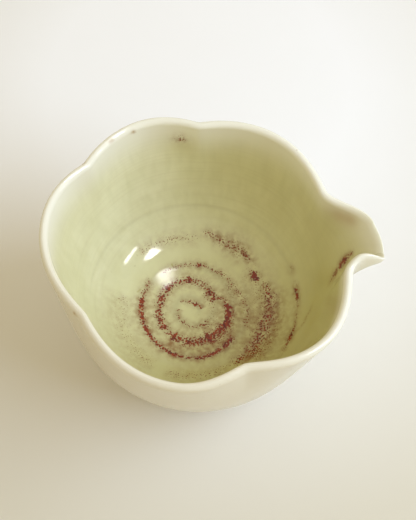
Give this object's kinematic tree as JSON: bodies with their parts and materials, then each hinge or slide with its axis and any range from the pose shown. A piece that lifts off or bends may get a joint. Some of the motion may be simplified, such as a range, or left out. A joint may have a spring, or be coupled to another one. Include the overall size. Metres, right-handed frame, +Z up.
{
  "type": "spouted tea bowl",
  "caption": "Wheel-thrown tea bowl with a pressed lobed rim, a pulled pouring lip, a finger spiral on its floor and a foot ring.",
  "frame": {"origin": "middle of the bounding box on the plane that the foot ring stands on", "axes": "+X along the pouring lip, +Z up out of the bowl's mouth"},
  "size_m": [0.128, 0.1136, 0.0748],
  "materials": {
    "clay": "fired stoneware, matt",
    "foot_clay": "bare trimmed stoneware, matt",
    "inner_glaze": "gloss celadon",
    "outer_glaze": "gloss cream",
    "well_glaze": "gloss cream"
  },
  "bodies": {
    "root": {"thrown_body": "clay", "foot_ring": "foot_clay", "inner_glaze": "inner_glaze", "outer_glaze": "outer_glaze", "foot_well_glaze": "well_glaze"}
  },
  "joints": []
}
